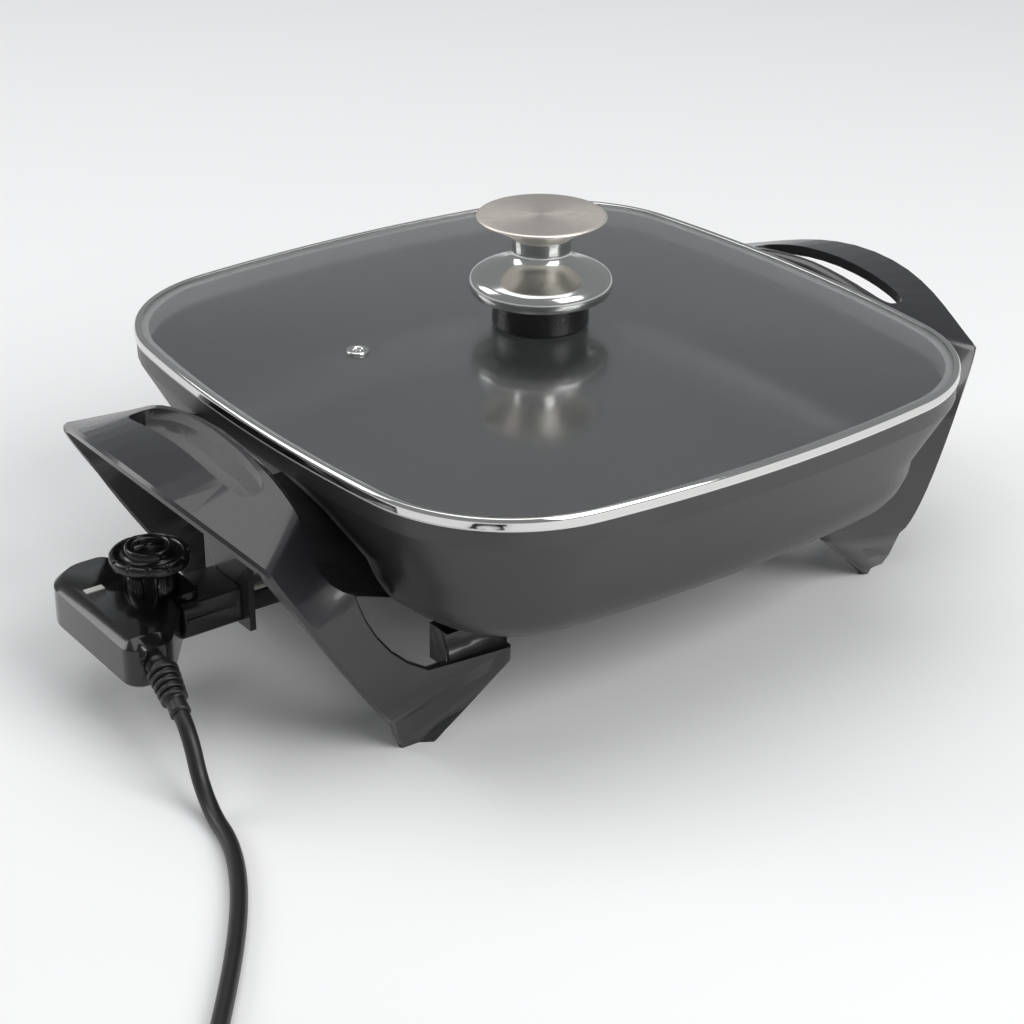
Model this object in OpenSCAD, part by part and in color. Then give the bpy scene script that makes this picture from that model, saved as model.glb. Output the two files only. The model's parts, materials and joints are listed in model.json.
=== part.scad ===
// Square electric skillet: coated cast pan on two handle-and-leg mouldings,
// glass lid in a steel band, and a plug-in temperature control with its lead.
// Millimetres, +Z up, X from handle to handle, the control on the -X side.
// The origin is on the table, under the middle of the whole width.

/* [Lid outline] */
// Half width of the lid over its band, handle to handle
half_w = 160; // [150:1:170]
// Half length of the lid over its band, front to back
half_l = 164; // [155:1:174]
// Radius of the lid's corners
corner_r = 74; // [68:1:80]
// How far the middle of each side bows out
side_bow = 5.2; // [4:0.1:7]
// Height of the band's bead above the table
bead_z = 124; // [116:1:132]
// Height of the band below its bead
band_h = 5.5; // [5:0.1:7]

/* [Pan] */
// Depth of the pan from its rim to its underside
pan_depth = 68.5; // [62:0.5:72]
// Inward taper of the wall, from the rim to the bottom radius
wall_taper = 16.5; // [12:0.5:20]
// Radius where the wall turns into the floor
base_r = 29; // [22:1:30]
// Thickness of the wall
wall_t = 3.6; // [3:0.1:4.5]
// Thickness of the floor
floor_t = 4.5; // [4:0.1:6]
// Thickness of the rim that carries the lid
rim_t = 4.9; // [4.5:0.1:5.4]
// Height of the thick rim
rim_h = 8; // [7:0.5:10]

/* [Heater] */
// Diameter of the tubular element
element_d = 7; // [6:0.5:8]
// Half width of the element's loop
loop_x = 92; // [84:1:96]
// Half length of the element's loop
loop_y = 96; // [88:1:100]
// Bend radius at the loop's corners
loop_r = 34; // [28:1:38]
// Depth of the element's axis below the pan's underside
element_drop = 7.5; // [7:0.1:8]
// Spacing of the two power pins
pin_pitch = 17; // [16.6:0.1:17.4]
// Diameter of a power pin
pin_d = 4; // [3.5:0.1:4.5]
// Outer diameter of the sensor's guide tube
guide_d = 8; // [7.6:0.1:8.4]
// Diameter of the sensor rod
rod_d = 5; // [4.6:0.1:5.2]

/* [Handles] */
// How far the grip stands out past the lid
grip_reach = 57; // [50:1:64]
// Width of the hand opening
slot_w = 18; // [15:0.5:19]
// Half length of the hand opening
slot_half = 50; // [42:1:52]
// Thickness of the moulding
leg_t = 5; // [4:0.5:6]
// Half distance between the feet, handle to handle
foot_x = 133; // [128:1:138]
// Half distance between the feet, front to back
foot_y = 100; // [96:1:104]
// Width of a foot
foot_w = 11; // [10:0.5:13]

/* [Knob] */
// Diameter of the grip disc
disc_d = 59; // [54:1:64]
// Diameter of the flared skirt
skirt_d = 66; // [60:1:70]
// Diameter of the base on the glass
base_d = 44.6; // [40:0.2:48]
// Height of the knob above the glass
knob_h = 52.2; // [50:0.2:56]
// Diameter of the screws
screw_d = 4; // [3.6:0.1:4.4]

/* [Control] */
// How far the control stands out past the lid
control_reach = 77; // [72:1:82]
// Height of the control's housing
control_h = 21; // [20:0.5:22]
// Wall of the control's housing
control_wall = 2; // [1.8:0.1:2.4]
// Width of the nose that plugs in
nose_w = 25; // [25:0.5:28]
// Diameter of the dial
dial_d = 34.4; // [32:0.2:37]
// Height of the dial's seat above the housing
collar_h = 11.6; // [10:0.2:14]
// Diameter of the dial's spindle
spindle_d = 5; // [4:0.5:6]
// Pull needed to free the control is a straight slide of this length
control_travel = 110; // [100:5:130]

/* [Lead] */
// Diameter of the lead
cord_d = 7; // [7:0.5:7.5]
// Length of the strain relief outside the housing
relief_l = 23; // [20:1:27]

/* [Hidden] */

// Clearances: between pieces of one body, between bodies, and in the dial's bearing
seat_gap = 0.1;
free_gap = 0.3;
run_gap = 0.07;
// Facets on small rounds, and points on each of the outline's eight arcs
small_fn = 48;
lid_steps = 10;

// The pan's middle, moved so that the origin halves the whole width
pan_x = (control_reach - grip_reach) / 2;

// ---- Lid and pan outline: four wide side arcs and four corner arcs, all tangent ----
corner_x = half_w - corner_r - side_bow;
corner_y = half_l - corner_r - side_bow;
corner_reach2 = pow(corner_x, 2) + pow(corner_y, 2);
pivot_x = (pow(half_w - corner_r, 2) - corner_reach2) / (2 * side_bow);
pivot_y = (pow(half_l - corner_r, 2) - corner_reach2) / (2 * side_bow);
side_ax = atan2(corner_y, corner_x - pivot_x);
side_ay = atan2(corner_x, corner_y - pivot_y);

// Points of one arc, without its last point
function arc_pts(r, cx, cy, from, to, steps) =
    [for (i = [0:steps - 1])
        let (a = from + (to - from) * i / steps)
        [cx + r * cos(a), cy + r * sin(a)]];

// The outline drawn in by an inset, as points
function outline(inset, steps) = concat(
    arc_pts(half_w - pivot_x - inset, pivot_x, 0, -side_ax, side_ax, steps),
    arc_pts(corner_r - inset, corner_x, corner_y, side_ax, 90 - side_ay, steps),
    arc_pts(half_l - pivot_y - inset, 0, pivot_y, 90 - side_ay, 90 + side_ay, steps),
    arc_pts(corner_r - inset, -corner_x, corner_y, 90 + side_ay, 180 - side_ax, steps),
    arc_pts(half_w - pivot_x - inset, -pivot_x, 0, 180 - side_ax, 180 + side_ax, steps),
    arc_pts(corner_r - inset, -corner_x, -corner_y, 180 + side_ax, 270 - side_ay, steps),
    arc_pts(half_l - pivot_y - inset, 0, -pivot_y, 270 - side_ay, 270 + side_ay, steps),
    arc_pts(corner_r - inset, corner_x, -corner_y, 270 + side_ay, 360 - side_ax, steps));

// Faces between rings of n points each, from ring to ring
function wall_faces(pairs, n) =
    [for (pair = pairs, j = [0:n - 1])
        let (k = (j + 1) % n, a = pair[0] * n, b = pair[1] * n)
        each [[a + j, b + j, a + k], [a + k, b + j, b + k]]];

// Skins rings of equally many points into one closed solid
module skin(rings) {
    n = len(rings[0]);
    last = len(rings) - 1;
    polyhedron(
        points = [for (ring = rings) each ring],
        faces = concat(
            [[for (j = [0:n - 1]) j]],
            wall_faces([for (i = [0:last - 1]) [i, i + 1]], n),
            [[for (j = [n - 1:-1:0]) last * n + j]]));
}

// One ring of points round the outline, from an (inset, height) point
function section_ring(p, steps) = [for (q = outline(p[0], steps)) [q[0], q[1], p[1]]];

// Carries a section of (inset, height) points round the outline as one closed band
module band_skin(section, steps) {
    rings = [for (p = section) section_ring(p, steps)];
    count = len(section);
    polyhedron(
        points = [for (ring = rings) each ring],
        faces = wall_faces([for (i = [0:count - 1]) [i, (i + 1) % count]], len(rings[0])));
}

function unit(v) = v / norm(v);
function mix(a, b, t) = a + (b - a) * t;
function bezier(p, t) =
    pow(1 - t, 3) * p[0] + 3 * pow(1 - t, 2) * t * p[1]
    + 3 * (1 - t) * pow(t, 2) * p[2] + pow(t, 3) * p[3];

module place() {
    translate([pan_x, 0, 0])
        children();
}

module tube(r_out, r_in, h) {
    difference() {
        cylinder(r = r_out, h = h, $fn = small_fn);
        translate([0, 0, -1])
            cylinder(r = r_in, h = h + 2, $fn = small_fn);
    }
}

// A cylinder from x = from to x = to
module rod_x(r, from, to) {
    translate([from, 0, 0])
        rotate([0, 90, 0])
            cylinder(r = r, h = to - from, $fn = small_fn);
}

// ---- Pan ----
rim_z = bead_z - band_h;
pan_z = rim_z - pan_depth;
floor_z = pan_z + floor_t;
rim_inset = 0.8;
lip_step = 0.2;
bore_inset = rim_inset + rim_t;
wall_top = rim_z - rim_h - 1;
wall_inset = rim_inset + lip_step;
turn_inset = wall_inset + wall_taper + base_r;
turn_z = pan_z + base_r;
inner_turn_r = base_r - (wall_t + floor_t) / 2;
inner_turn_z = floor_z + inner_turn_r;
floor_lap = 5;
fillet_step = 15;

// The pan's section as (inset, height) points: underside, wall, rim, and back inside
pan_section = concat(
    [[turn_inset + floor_lap, pan_z]],
    [for (a = [90:-fillet_step:0])
        [turn_inset - base_r * cos(a), turn_z - base_r * sin(a)]],
    [[wall_inset, wall_top], [rim_inset, rim_z - rim_h],
        [rim_inset, rim_z], [bore_inset, rim_z], [bore_inset, wall_top]],
    [for (a = [0:fillet_step:90])
        [turn_inset - inner_turn_r * cos(a), inner_turn_z - inner_turn_r * sin(a)]],
    [[turn_inset + floor_lap, floor_z]]);

// How far in the pan's outer face is at a height between the fillet's end and the rim
function face_inset(z) =
    z > turn_z ? mix(wall_inset, wall_inset + wall_taper, (wall_top - z) / (wall_top - turn_z))
    : turn_inset - sqrt(pow(base_r, 2) - pow(turn_z - z, 2));

// The element's plan: one half, mirrored. Straight runs are [x, y, length, angle],
// bends are [centre x, centre y, radius, start angle].
element_z = pan_z - element_drop;
lead_y = pin_pitch / 2;
lead_bend = 12;
bend_x = -loop_x - lead_bend;
lug_x = half_w - turn_inset + 13;
cold_end = lug_x + 22;
runs = [
    [-cold_end, -lead_y, cold_end + bend_x, 0],
    [-loop_x, -lead_y - lead_bend, loop_y - loop_r - lead_y - lead_bend, -90],
    [-loop_x + loop_r, -loop_y, 2 * (loop_x - loop_r), 0],
    [loop_x, -loop_y + loop_r, loop_y - loop_r, 90]];
bends = [
    [bend_x, -lead_y - lead_bend, lead_bend, 0],
    [-loop_x + loop_r, -loop_y + loop_r, loop_r, 180],
    [loop_x - loop_r, -loop_y + loop_r, loop_r, 270]];

module element_path(r) {
    for (flip = [0, 1])
        mirror([0, flip, 0])
            translate([0, 0, element_z]) {
                for (run = runs)
                    translate([run[0], run[1], 0])
                        rotate([0, 0, run[3]])
                            rod_x(r, 0, run[2]);
                for (bend = bends)
                    translate([bend[0], bend[1], 0])
                        rotate([0, 0, bend[3]])
                            rotate_extrude(angle = 90, $fn = small_fn)
                                translate([bend[2], 0])
                                    circle(r = r, $fn = small_fn / 2);
            }
}

// The element's track seen from above, of a given width
module track(w) {
    for (flip = [0, 1])
        mirror([0, flip]) {
            for (run = runs)
                translate([run[0], run[1]])
                    rotate([0, 0, run[3]])
                        translate([0, -w / 2])
                            square([run[2], w]);
            for (bend = bends)
                translate([bend[0], bend[1]])
                    rotate([0, 0, bend[3]])
                        intersection() {
                            difference() {
                                circle(r = bend[2] + w / 2, $fn = small_fn);
                                circle(r = bend[2] - w / 2, $fn = small_fn);
                            }
                            square(bend[2] + w);
                        }
        }
}

ridge_w = 14;
ridge_h = element_drop + 2;
channel_w = element_d + 2 * seat_gap;
lug_half = lead_y + element_d / 2 + 2.5;
guide_seat = -loop_x - 4;
leg_screw_x = 100;
leg_screw_y = 90;
leg_boss_r = 5;
leg_boss_h = 4;
guard_screw_x = bend_x - 5;
guard_screw_y = 30;
guard_boss_r = 4.5;
guard_boss_h = 1.5;
screw_bite = 2.5;

module pan_floor_parts() {
    translate([0, 0, pan_z - ridge_h])
        linear_extrude(ridge_h + 1)
            intersection() {
                track(ridge_w);
                square([-2 * bend_x, 3 * loop_y], center = true);
            }
    translate([-lug_x, -lug_half, pan_z - ridge_h])
        cube([lug_x - loop_x, 2 * lug_half, ridge_h + floor_t - 0.7]);
    for (sx = [-1, 1], sy = [-1, 1])
        translate([sx * leg_screw_x, sy * leg_screw_y, pan_z - leg_boss_h])
            cylinder(r = leg_boss_r, h = leg_boss_h + 1, $fn = small_fn);
    for (sy = [-1, 1])
        translate([guard_screw_x, sy * guard_screw_y, pan_z - guard_boss_h])
            cylinder(r = guard_boss_r, h = guard_boss_h + 1, $fn = small_fn);
}

module pan() color("dimgray") place()
    difference() {
        union() {
            skin([for (p = pan_section) section_ring(p, lid_steps)]);
            pan_floor_parts();
        }
        translate([0, 0, pan_z - ridge_h - 1])
            linear_extrude(ridge_h + 1 - element_drop + element_d / 2 + seat_gap)
                track(channel_w);
        translate([0, 0, element_z])
            rod_x(guide_d / 2 + seat_gap, -lug_x - 1, guide_seat);
        for (sx = [-1, 1], sy = [-1, 1])
            translate([sx * leg_screw_x, sy * leg_screw_y, pan_z - leg_boss_h - 1])
                cylinder(r = screw_d / 2 + seat_gap, h = leg_boss_h + 1 + screw_bite,
                    $fn = small_fn);
        for (sy = [-1, 1])
            translate([guard_screw_x, sy * guard_screw_y, pan_z - guard_boss_h - 1])
                cylinder(r = screw_d / 2 + seat_gap, h = guard_boss_h + 1 + screw_bite,
                    $fn = small_fn);
    }

module heating_element() color("slategray") place()
    element_path(element_d / 2);

// ---- Socket under the pan, where the control plugs in ----
guard_x = half_w + 10;
guard_t = 3;
guard_half = lug_half + 4;
guard_h = 32;
guard_z = element_z - guard_h / 2 + 5;
cheek_t = 2.4;
cheek_y = lug_half + 0.4;
pin_end = guard_x + 10;
insulator_r = 3.4;

module terminal_pins() color("silver") place()
    for (sy = [-1, 1])
        translate([0, sy * lead_y, element_z]) {
            rod_x(pin_d / 2, -pin_end + 1, -cold_end);
            translate([-pin_end + 1, 0, 0])
                rotate([0, -90, 0])
                    cylinder(r1 = pin_d / 2, r2 = pin_d / 2 - 1, h = 1, $fn = small_fn);
        }

module pin_insulators() color("white") place()
    for (sy = [-1, 1])
        translate([-guard_x, sy * lead_y, element_z])
            rotate([0, 90, 0])
                tube(insulator_r - seat_gap, pin_d / 2 + seat_gap, guard_x - cold_end - 1);

module sensor_guide() color("silver") place()
    translate([-guard_x + 0.5, 0, element_z])
        rotate([0, 90, 0])
            tube(guide_d / 2, rod_d / 2 + free_gap + 0.1, guard_x - 0.5 + guide_seat);

module socket_guard() color([0.13, 0.13, 0.13]) place()
    difference() {
        union() {
            translate([-guard_x, -guard_half, guard_z])
                cube([guard_t, 2 * guard_half, guard_h]);
            for (sy = [-1, 1]) {
                translate([-guard_x + 1, sy * (cheek_y + cheek_t / 2) - cheek_t / 2,
                    pan_z - ridge_h])
                    cube([guard_x - 1 + guard_screw_x, cheek_t, ridge_h - guard_boss_h]);
                translate([guard_screw_x - guard_boss_r,
                    sy > 0 ? cheek_y : -guard_screw_y - guard_boss_r,
                    pan_z - guard_boss_h - cheek_t])
                    cube([2 * guard_boss_r, guard_screw_y + guard_boss_r - cheek_y,
                        cheek_t]);
            }
        }
        for (sy = [-1, 1]) {
            translate([0, sy * lead_y, element_z])
                rod_x(insulator_r, -guard_x - 1, -guard_x + guard_t + 1);
            translate([guard_screw_x, sy * guard_screw_y, 0])
                cylinder(r = screw_d / 2 + 0.2, h = pan_z, $fn = small_fn);
        }
        translate([0, 0, element_z])
            rod_x(guide_d / 2 + seat_gap, -guard_x - 1, -guard_x + guard_t + 1);
    }

// A pan-head screw, pointing up, with its head's bearing face at z = 0
module screw(shank, head_r = 3.8, head_h = 2.6) {
    translate([0, 0, -head_h])
        difference() {
            cylinder(r = head_r, h = head_h, $fn = small_fn);
            for (a = [0, 90])
                rotate([0, 0, a])
                    translate([-2.2, -0.4, -1])
                        cube([4.4, 0.8, 2.2]);
        }
    cylinder(r = screw_d / 2, h = shank, $fn = small_fn);
}

module guard_screws() color("silver") place()
    for (sy = [-1, 1])
        translate([guard_screw_x, sy * guard_screw_y, pan_z - guard_boss_h - cheek_t])
            screw(cheek_t + guard_boss_h + screw_bite - 0.5);

// ---- Handle and leg mouldings ----
// Each is a ribbon that arches over the side and comes down to two feet. Its inner
// edge and its outer edge are curves, given here for the front half of the +X side.
rail_x = half_w + 10;
grip_x = half_w + grip_reach;
rail_top = bead_z - 2;
grip_top = bead_z - 6;
toe_x = 90;
toe_z = pan_z - 14;
sole = 4;
edge_chamfer = 1.3;
shoulder = [grip_x - 17, foot_y - 12, grip_top - 18.5];
outer_grip = [[grip_x, 0, grip_top], [grip_x, 38, grip_top],
    [grip_x - 9.5, 60, grip_top - 10.5], shoulder];
ankle = [foot_x + 16, foot_y - 3.2, 16];
outer_leg = [shoulder, shoulder + [-2.5, 3, -6.5], [foot_x + 25, foot_y + 4, 23], ankle];
heel = [foot_x + 12, foot_y - 5, 5];
foot_out = [foot_x + 8, foot_y - 9, -sole];
inner_rail = [[rail_x, 0, rail_top], [rail_x, 28, rail_top - 0.5],
    [rail_x, 52, rail_top - 6], [rail_x + 1, 66, rail_top - 15]];
knee = [rail_x - 9.7, foot_y - 10.2, pan_z + 29];
inner_turn = [[rail_x + 1, 66, rail_top - 15], [rail_x + 4, 78, rail_top - 29],
    [rail_x + 3.5, 87, rail_top - 38], knee];
inner_leg = [knee, knee + [-1.8, 2.7, -13], [foot_x + 18, foot_y - 2.5, pan_z - 2],
    [foot_x - 3, foot_y - 2, toe_z + 1]];
toe_top = [toe_x, foot_y + 1, toe_z];
toe_low = [toe_x + 1.5, foot_y + 3, toe_z - 5];
foot_in = foot_out + foot_w * unit([-9, 5.5, 0]);

// Stations run from 0 at mid-grip to 1 at the sole
outer_map = [[0.4, 0], [0.46, 0.15], [0.55, 0.4], [0.72, 0.75], [0.84, 0.92], [0.88, 1]];
function outer_edge(s) =
    s < 0.4 ? bezier(outer_grip, s / 0.4)
    : s < 0.88 ? bezier(outer_leg, lookup(s, outer_map))
    : s < 0.94 ? mix(ankle, heel, (s - 0.88) / 0.06)
    : mix(heel, foot_out, (s - 0.94) / 0.06);
function inner_edge(s) =
    s < 0.4 ? bezier(inner_rail, s / 0.4)
    : s < 0.55 ? bezier(inner_turn, (s - 0.4) / 0.15)
    : s < 0.72 ? bezier(inner_leg, (s - 0.55) / 0.17)
    : s < 0.84 ? mix(inner_leg[3], toe_top, (s - 0.72) / 0.12)
    : s < 0.88 ? mix(toe_top, toe_low, (s - 0.84) / 0.04)
    : mix(toe_low, foot_in, (s - 0.88) / 0.12);
half_stations = [0, 0.05, 0.1, 0.15, 0.2, 0.25, 0.3, 0.34, 0.37, 0.39, 0.41, 0.43, 0.455,
    0.48, 0.505, 0.53, 0.55, 0.57, 0.6, 0.63, 0.66, 0.69, 0.72, 0.76, 0.8, 0.84, 0.88, 0.94, 1];
stations = concat([for (i = [len(half_stations) - 1:-1:1]) -half_stations[i]],
    half_stations);
function flip_y(p, s) = s < 0 ? [p[0], -p[1], p[2]] : p;
function inner_at(s) = flip_y(inner_edge(abs(s)), s);
function outer_at(s) = flip_y(outer_edge(abs(s)), s);
function middle_at(s) = (inner_at(s) + outer_at(s)) / 2;

// One cross-section of the ribbon, with its four edges broken
function ribbon_ring(i) =
    let (
        s = stations[i],
        before = stations[max(i - 1, 0)],
        after = stations[min(i + 1, len(stations) - 1)],
        a = inner_at(s),
        b = outer_at(s),
        across = unit(b - a),
        out = unit(cross(across, middle_at(after) - middle_at(before))),
        c = edge_chamfer)
    [a + across * c, b - across * c, b - out * c, b - out * (leg_t - c),
        b - out * leg_t - across * c, a - out * leg_t + across * c,
        a - out * (leg_t - c), a - out * c];

rail_t = 4;
rail_low = rail_top - 26;
rail_stations = [-0.36, -0.28, -0.2, -0.1, 0, 0.1, 0.2, 0.28, 0.36];
function rail_ring(s) =
    let (p = inner_at(s))
    [[p[0] + rail_t - 2, p[1], p[2] - 2], [p[0] + rail_t - 2, p[1], rail_low],
        [p[0] - 2, p[1], rail_low], [p[0] - 2, p[1], p[2] - 2]];

// The web closes the gap between the ribbon and the pan's side. It falls towards the pan
// and ends just short of it.
web_t = 3;
web_gap = 1;
web_stations = [0.22, 0.28, 0.34, 0.39, 0.43, 0.46, 0.49, 0.52, 0.54];
function side_x(y, inset) =
    pivot_x + sqrt(pow(half_w - pivot_x - inset, 2) - pow(y, 2));
function web_foot(p) =
    let (y = 0.85 * p[1], z = p[2] - 4 - 0.35 * (rim_z - p[2]))
    [side_x(y, face_inset(z) - web_gap), y, z];
function web_ring(s) =
    let (
        rim = inner_at(s),
        out = unit(cross(unit(outer_at(s) - rim), inner_at(s + 0.01) - inner_at(s - 0.01))),
        a = rim + 2 * unit(outer_at(s) - rim) - out,
        b = web_foot(rim),
        drop = web_t * out)
    [b, a, a - drop, b - drop];

slot_x = rail_x + 3 + slot_w / 2;
slot_round = 0.55;
function signed_pow(v, e) = sign(v) * pow(abs(v), e);

module hand_slot() {
    translate([slot_x, 0, pan_z])
        linear_extrude(bead_z)
            polygon([for (a = [0:10:350])
                [slot_w / 2 * signed_pow(cos(a), slot_round),
                    slot_half * signed_pow(sin(a), slot_round)]]);
}

rib_in = toe_x;
rib_out = toe_x + 31;
rib_gap = 1;
rib_y = foot_y - 16;
rib_low = pan_z - 17;

module leg_rib() {
    difference() {
        translate([rib_in, rib_y, rib_low])
            cube([rib_out - rib_in, foot_y - 3 - rib_y, pan_z - rib_low - seat_gap]);
        translate([0, 0, rib_low - 1])
            linear_extrude(pan_z)
                translate([loop_x - loop_r, loop_y - loop_r])
                    circle(r = loop_r + ridge_w / 2 + rib_gap, $fn = small_fn);
    }
}

module leg_rib_holes() {
    translate([leg_screw_x, leg_screw_y, 0]) {
        cylinder(r = screw_d / 2 + 0.2, h = pan_z + 1, $fn = small_fn);
        translate([0, 0, -1])
            cylinder(r = 4.4, h = rib_low + 5, $fn = small_fn);
        translate([0, 0, pan_z - leg_boss_h - seat_gap])
            cylinder(r = leg_boss_r + free_gap, h = 10, $fn = small_fn);
    }
}

module handle_moulding() {
    difference() {
        union() {
            skin([for (i = [0:len(stations) - 1]) ribbon_ring(i)]);
            skin([for (s = rail_stations) rail_ring(s)]);
            for (flip = [0, 1])
                mirror([0, flip, 0]) {
                    leg_rib();
                    skin([for (s = web_stations) web_ring(s)]);
                }
        }
        hand_slot();
        for (flip = [0, 1])
            mirror([0, flip, 0])
                leg_rib_holes();
        translate([0, -2 * foot_y, -20])
            cube([2 * grip_x, 4 * foot_y, 20]);
    }
}

module left_handle() color([0.1, 0.1, 0.1]) place()
    mirror([1, 0, 0])
        handle_moulding();

module right_handle() color([0.1, 0.1, 0.1]) place()
    handle_moulding();

module leg_screws() color("silver") place()
    for (sx = [-1, 1], sy = [-1, 1])
        translate([sx * leg_screw_x, sy * leg_screw_y, rib_low + 4])
            screw(pan_z + screw_bite - 0.5 - rib_low - 4);

// ---- Lid ----
band_t = 0.9;
glass_t = band_h - 2 * band_t - 0.1;
glass_rise = 6.4;
glass_edge = rim_z + band_t + 0.05 + glass_t;
glass_inset = 1.4;
flat_share = 0.15;
glass_top = glass_edge + glass_rise;
vent_x = -85;
vent_y = 23;
vent_flange_r = 5.25;
vent_bore_r = 2.2;
vent_hole_r = 3.5;
spot = 0.35;
glass_hole_r = screw_d / 2 + 1.2;

// Height of the glass's upper face where its outline is drawn in to a share of itself
function dome(share) =
    glass_edge + glass_rise * (1 - pow((share - flat_share) / (1 - flat_share), 2));
vent_share = norm([vent_x / half_w, vent_y / half_l]);
vent_z = dome(vent_share);
glass_shares = [flat_share, 0.3, 0.45, 0.6, 0.75, 0.88, 1];

function glass_ring(share, drop) =
    [for (p = outline(glass_inset, lid_steps)) [p[0] * share, p[1] * share, dome(share) - drop]];

module lid_glass() color([0.6, 0.65, 0.65, 0.35]) place()
    difference() {
        skin(concat(
            [for (i = [0:len(glass_shares) - 1]) glass_ring(glass_shares[i], glass_t)],
            [for (i = [len(glass_shares) - 1:-1:0]) glass_ring(glass_shares[i], 0)]));
        translate([0, 0, glass_top - 10])
            cylinder(r = glass_hole_r, h = 20, $fn = small_fn);
        translate([vent_x, vent_y, 0]) {
            translate([0, 0, vent_z - 10])
                cylinder(r = vent_hole_r, h = 20, $fn = small_fn);
            translate([0, 0, vent_z - spot])
                cylinder(r = vent_flange_r + 0.6, h = 5, $fn = small_fn);
            translate([0, 0, vent_z - glass_t + spot - 5])
                cylinder(r = vent_flange_r + 0.6, h = 5, $fn = small_fn);
        }
    }

// Folded steel band: bead over the glass, a flange under it that rests on the pan's rim,
// and a skirt that drops inside the rim
skirt_inset = bore_inset + 0.5;
skirt_drop = 8;
lip = 2.9;
band_section = [[0.25, rim_z], [0, rim_z + 0.7], [0, bead_z - 1.6], [0.35, bead_z - 0.6],
    [1.2, bead_z - 0.05], [2.1, bead_z], [lip, bead_z - 0.25], [lip + 0.3, glass_edge + 0.4],
    [1.3, glass_edge + 0.1], [1.3, rim_z + band_t], [skirt_inset + band_t, rim_z + band_t],
    [skirt_inset + band_t, rim_z - skirt_drop], [skirt_inset, rim_z - skirt_drop],
    [skirt_inset, rim_z]];
module lid_band() color("silver") place()
    band_skin(band_section, lid_steps);

module vent_grommet() color("silver") place()
    translate([vent_x, vent_y, vent_z - spot])
        rotate_extrude($fn = small_fn)
            polygon([[vent_bore_r, -glass_t + 2 * spot - 1], [vent_flange_r - 0.5, -glass_t + 2 * spot - 1],
                [vent_flange_r - 0.5, -glass_t + 2 * spot], [vent_hole_r - seat_gap, -glass_t + 2 * spot],
                [vent_hole_r - seat_gap, 0], [vent_flange_r, 0], [vent_flange_r, 0.7],
                [vent_flange_r - 0.5, 1.2], [vent_bore_r + 0.6, 1.3], [vent_bore_r, 0.6]]);

// ---- Knob, stacked on the glass and drawn together by one screw ----
seal_t = 0.8;
knob_z = glass_top + seal_t;
knob_top = glass_top + knob_h;
flare_z = knob_z + 15.5;
neck_r = 13.2;
neck_z = knob_top - 14.5;
disc_z = knob_top - 6.2;
column_r = neck_r - 1.7;
washer_t = 1;
skirt_r = skirt_d / 2;
disc_r = disc_d / 2;

module knob_seal() color("black") place()
    translate([0, 0, glass_top])
        tube(base_d / 2 - 1.5, screw_d / 2 + 0.4, seal_t);

module knob_base() color([0.06, 0.06, 0.06]) place()
    rotate_extrude($fn = 2 * small_fn)
        polygon([[screw_d / 2 + 0.2, knob_z], [base_d / 2 - 0.6, knob_z],
            [base_d / 2, knob_z + 0.8], [base_d / 2 - 0.4, flare_z - 1],
            [base_d / 2 - 1.6, flare_z + 1], [neck_r - 0.2, flare_z + 1.6],
            [neck_r - 0.2, flare_z + 12.5], [column_r, flare_z + 14.2],
            [column_r, disc_z - 4.2], [screw_d / 2 + 0.2, disc_z - 4.2]]);

// The flare is a bell: concave from the neck, then rolling over to its rim
bell = [for (t = [0:0.125:1])
    bezier([[neck_r, neck_z - 2], [neck_r + 0.4, flare_z + 12.5],
        [skirt_r - 6, flare_z + 11.5], [skirt_r - 1.4, flare_z + 7.4]], t)];
bell_rim = [[skirt_r - 0.3, flare_z + 6], [skirt_r, flare_z + 4.3],
    [skirt_r - 0.2, flare_z + 2.2], [skirt_r - 1.2, flare_z]];
bell_wall = 1.2;

module knob_skirt() color("gainsboro") place()
    rotate_extrude($fn = 2 * small_fn)
        polygon(concat(
            [[column_r + seat_gap, disc_z - 4.2], [neck_r + 0.4, disc_z - 4.2]],
            bell,
            bell_rim,
            [[skirt_r - 2.2, flare_z + 0.4], [skirt_r - 1.6, flare_z + 3.6],
                [skirt_r - 2.4, flare_z + 6]],
            [for (i = [len(bell) - 1:-1:1]) [bell[i][0] - 0.3, bell[i][1] - bell_wall]],
            [[column_r + seat_gap, neck_z - 3]]));

module knob_disc() color([0.68, 0.66, 0.63]) place()
    rotate_extrude($fn = 2 * small_fn)
        polygon([[screw_d / 2 + 0.05, disc_z - 4.2], [neck_r + 0.4, disc_z - 4.2],
            [neck_r + 1, disc_z - 3.4], [neck_r + 3.2, disc_z - 2], [neck_r + 4.6, disc_z - 1.2],
            [disc_r - 3, disc_z + 3.9], [disc_r - 0.8, disc_z + 4.5], [disc_r, disc_z + 5],
            [disc_r, disc_z + 5.5], [disc_r - 0.6, disc_z + 6], [disc_r - 2, knob_top - 0.1],
            [0, knob_top], [0, disc_z + 3.5], [screw_d / 2 + 0.05, disc_z + 3.5]]);

module knob_screw() color("silver") place()
    translate([0, 0, glass_top - glass_t - washer_t])
        screw(disc_z + 3 - glass_top + glass_t + washer_t);

module screw_washer() color("silver") place()
    translate([0, 0, glass_top - glass_t - washer_t])
        tube(8, screw_d / 2 + seat_gap, washer_t);

// ---- Plug-in control ----
control_x = half_w + control_reach;
control_z = element_z - 8.5;
control_top = control_z + control_h;
split_z = element_z + 0.5;
back_x = guard_x + 29;
tower_r = spindle_d / 2 + 0.9;
dial_x = -back_x - control_wall - tower_r - seat_gap;
dial_y = 3.3;
relief_x = -control_x + 11.5;
front_y = 38;
bevel_w = 4;
bevel_h = 3.5;
cavity_low = control_z + control_wall;
cavity_top = control_top - bevel_h - 0.5;

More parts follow.
